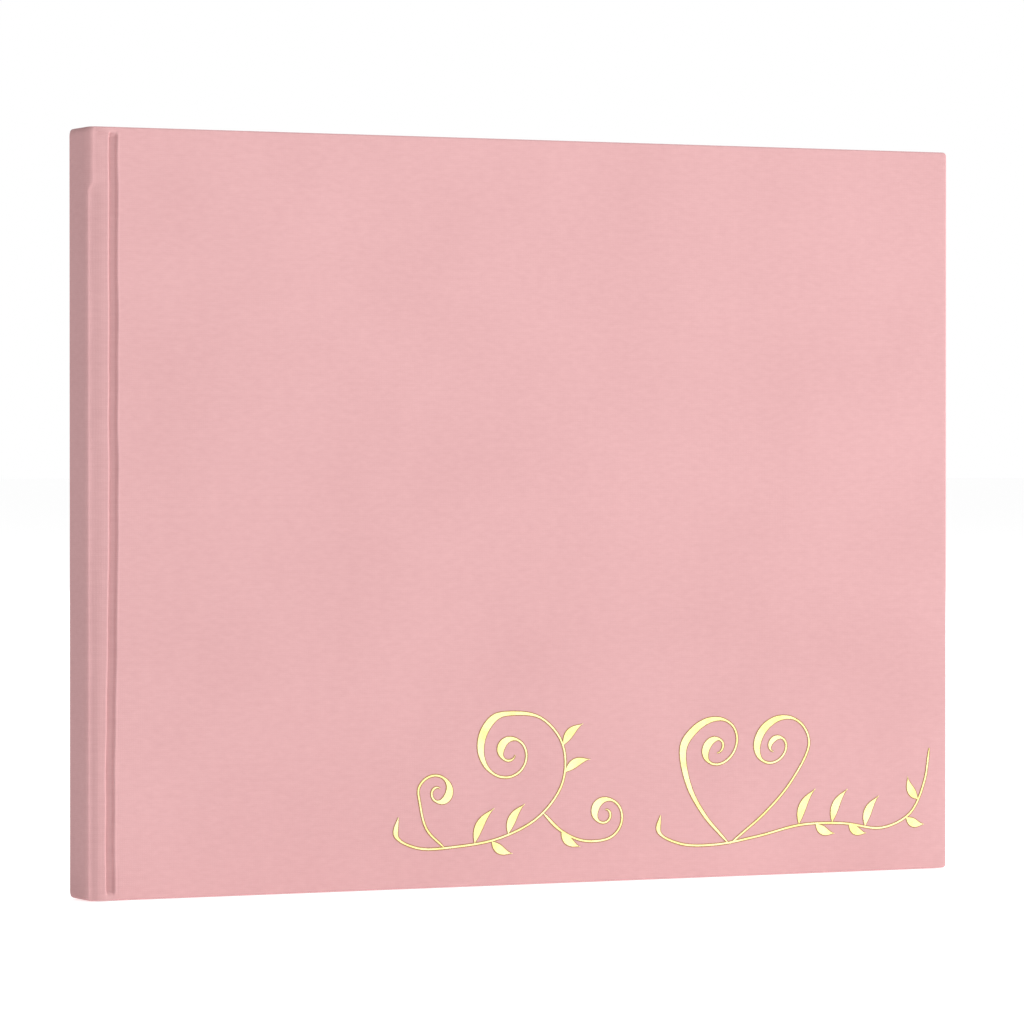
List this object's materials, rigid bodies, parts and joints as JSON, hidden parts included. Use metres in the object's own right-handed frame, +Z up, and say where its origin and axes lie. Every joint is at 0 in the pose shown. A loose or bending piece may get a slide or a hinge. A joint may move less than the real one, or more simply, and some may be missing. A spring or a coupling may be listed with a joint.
{
  "type": "wedding guest book",
  "caption": "Landscape casebound guest book in pink bookcloth with a flat back, grooved joints, gold-foil flourishes and sewn blank pages, standing on its tail edge.",
  "frame": {"origin": "middle of the base, on the surface that the book stands on", "axes": "+X from the spine to the fore-edge, -Y out of the front cover, +Z up to the head"},
  "size_m": [0.229, 0.0121, 0.178],
  "materials": {
    "bookcloth": "matte woven bookcloth, dusty pink",
    "gold_foil": "bright blocked foil, pale gold",
    "greyboard": "dense grey binder's board",
    "endpaper": "smooth uncoated endpaper",
    "page_paper": "uncoated writing paper",
    "kraft_paper": "brown kraft lining",
    "mull": "open starched cotton",
    "binders_glue": "dried white glue",
    "linen_thread": "waxed linen thread",
    "band_cloth": "white woven band"
  },
  "bodies": {
    "spine": {"spine_board": "greyboard", "spine_cloth": "bookcloth", "spine_lining": "kraft_paper", "spine_mull": "mull", "spine_glue": "binders_glue", "head_band": "band_cloth", "tail_band": "band_cloth", "sewing_station_1": "linen_thread", "sewing_station_2": "linen_thread", "sewing_station_3": "linen_thread", "sewing_station_4": "linen_thread", "signature_fold_1": "page_paper", "signature_fold_2": "page_paper", "signature_fold_3": "page_paper", "signature_fold_4": "page_paper", "front_endpaper_fold": "endpaper", "back_endpaper_fold": "endpaper"},
    "front_cover": {"front_board": "greyboard", "front_cover_cloth": "bookcloth", "front_pastedown": "endpaper", "front_mull_flap": "mull", "foil_scroll_spray": "gold_foil", "foil_heart_spray": "gold_foil"},
    "back_cover": {"back_board": "greyboard", "back_cover_cloth": "bookcloth", "back_pastedown": "endpaper", "back_mull_flap": "mull"},
    "front_flyleaf": {"front_flyleaf": "endpaper"},
    "leaf_1": {"leaf_1": "page_paper"},
    "leaf_2": {"leaf_2": "page_paper"},
    "leaf_3": {"leaf_3": "page_paper"},
    "leaf_4": {"leaf_4": "page_paper"},
    "leaf_5": {"leaf_5": "page_paper"},
    "leaf_6": {"leaf_6": "page_paper"},
    "leaf_7": {"leaf_7": "page_paper"},
    "leaf_8": {"leaf_8": "page_paper"},
    "signature_leaves_2": {"signature_leaves_2": "page_paper"},
    "signature_leaves_3": {"signature_leaves_3": "page_paper"},
    "signature_leaves_4": {"signature_leaves_4": "page_paper"},
    "leaf_29": {"leaf_29": "page_paper"},
    "leaf_30": {"leaf_30": "page_paper"},
    "leaf_31": {"leaf_31": "page_paper"},
    "leaf_32": {"leaf_32": "page_paper"},
    "back_flyleaf": {"back_flyleaf": "endpaper"}
  },
  "joints": [
    {"name": "front_cover_hinge", "type": "hinge", "parent": "spine", "child": "front_cover", "pos_m": [-0.1128, -0.00605, 0.089], "axis": [0, 0, -1], "range_deg": [0, 178]},
    {"name": "back_cover_hinge", "type": "hinge", "parent": "spine", "child": "back_cover", "pos_m": [-0.1128, 0.00605, 0.089], "axis": [0, 0, 1], "range_deg": [0, 178]},
    {"name": "front_flyleaf_turn", "type": "hinge", "parent": "spine", "child": "front_flyleaf", "pos_m": [-0.10711, -0.00264, 0.089], "axis": [0, 0, -1], "range_deg": [0, 139]},
    {"name": "leaf_1_turn", "type": "hinge", "parent": "spine", "child": "leaf_1", "pos_m": [-0.10711, -0.00264, 0.089], "axis": [0, 0, -1], "range_deg": [0, 124.7]},
    {"name": "leaf_2_turn", "type": "hinge", "parent": "spine", "child": "leaf_2", "pos_m": [-0.10711, -0.00264, 0.089], "axis": [0, 0, -1], "range_deg": [0, 110.5]},
    {"name": "leaf_3_turn", "type": "hinge", "parent": "spine", "child": "leaf_3", "pos_m": [-0.10711, -0.00264, 0.089], "axis": [0, 0, -1], "range_deg": [0, 96.3]},
    {"name": "leaf_4_turn", "type": "hinge", "parent": "spine", "child": "leaf_4", "pos_m": [-0.10711, -0.00264, 0.089], "axis": [0, 0, -1], "range_deg": [0, 82]},
    {"name": "leaf_5_turn", "type": "hinge", "parent": "spine", "child": "leaf_5", "pos_m": [-0.10711, -0.00264, 0.089], "axis": [0, 0, -1], "range_deg": [0, 67.8]},
    {"name": "leaf_6_turn", "type": "hinge", "parent": "spine", "child": "leaf_6", "pos_m": [-0.10711, -0.00264, 0.089], "axis": [0, 0, -1], "range_deg": [0, 53.5]},
    {"name": "leaf_7_turn", "type": "hinge", "parent": "spine", "child": "leaf_7", "pos_m": [-0.10711, -0.00264, 0.089], "axis": [0, 0, -1], "range_deg": [0, 41.1]},
    {"name": "leaf_8_turn", "type": "hinge", "parent": "spine", "child": "leaf_8", "pos_m": [-0.10711, -0.00264, 0.089], "axis": [0, 0, -1], "range_deg": [0, 28.6]},
    {"name": "signature_leaves_2_turn", "type": "hinge", "parent": "spine", "child": "signature_leaves_2", "pos_m": [-0.10711, -0.00264, 0.089], "axis": [0, 0, -1], "range_deg": [0, 14.4]},
    {"name": "signature_leaves_3_turn", "type": "hinge", "parent": "spine", "child": "signature_leaves_3", "pos_m": [-0.10711, 0.00264, 0.089], "axis": [0, 0, 1], "range_deg": [0, 14.4]},
    {"name": "back_flyleaf_turn", "type": "hinge", "parent": "spine", "child": "back_flyleaf", "pos_m": [-0.10711, 0.00264, 0.089], "axis": [0, 0, 1], "range_deg": [0, 139]},
    {"name": "leaf_32_turn", "type": "hinge", "parent": "spine", "child": "leaf_32", "pos_m": [-0.10711, 0.00264, 0.089], "axis": [0, 0, 1], "range_deg": [0, 117.6]},
    {"name": "leaf_31_turn", "type": "hinge", "parent": "spine", "child": "leaf_31", "pos_m": [-0.10711, 0.00264, 0.089], "axis": [0, 0, 1], "range_deg": [0, 96.3]},
    {"name": "leaf_30_turn", "type": "hinge", "parent": "spine", "child": "leaf_30", "pos_m": [-0.10711, 0.00264, 0.089], "axis": [0, 0, 1], "range_deg": [0, 74.9]},
    {"name": "leaf_29_turn", "type": "hinge", "parent": "spine", "child": "leaf_29", "pos_m": [-0.10711, 0.00264, 0.089], "axis": [0, 0, 1], "range_deg": [0, 55.3]},
    {"name": "signature_leaves_4_turn", "type": "hinge", "parent": "spine", "child": "signature_leaves_4", "pos_m": [-0.10711, 0.00264, 0.089], "axis": [0, 0, 1], "range_deg": [0, 34]}
  ],
  "couplings": [
    {"joint": "front_flyleaf_turn", "follows": "front_cover_hinge", "ratio": 0.78},
    {"joint": "leaf_1_turn", "follows": "front_cover_hinge", "ratio": 0.7},
    {"joint": "leaf_2_turn", "follows": "front_cover_hinge", "ratio": 0.62},
    {"joint": "leaf_3_turn", "follows": "front_cover_hinge", "ratio": 0.54},
    {"joint": "leaf_4_turn", "follows": "front_cover_hinge", "ratio": 0.46},
    {"joint": "leaf_5_turn", "follows": "front_cover_hinge", "ratio": 0.38},
    {"joint": "leaf_6_turn", "follows": "front_cover_hinge", "ratio": 0.3},
    {"joint": "leaf_7_turn", "follows": "front_cover_hinge", "ratio": 0.23},
    {"joint": "leaf_8_turn", "follows": "front_cover_hinge", "ratio": 0.16},
    {"joint": "signature_leaves_2_turn", "follows": "front_cover_hinge", "ratio": 0.08},
    {"joint": "signature_leaves_3_turn", "follows": "back_cover_hinge", "ratio": 0.08},
    {"joint": "back_flyleaf_turn", "follows": "back_cover_hinge", "ratio": 0.78},
    {"joint": "leaf_32_turn", "follows": "back_cover_hinge", "ratio": 0.66},
    {"joint": "leaf_31_turn", "follows": "back_cover_hinge", "ratio": 0.54},
    {"joint": "leaf_30_turn", "follows": "back_cover_hinge", "ratio": 0.42},
    {"joint": "leaf_29_turn", "follows": "back_cover_hinge", "ratio": 0.31},
    {"joint": "signature_leaves_4_turn", "follows": "back_cover_hinge", "ratio": 0.19}
  ]
}
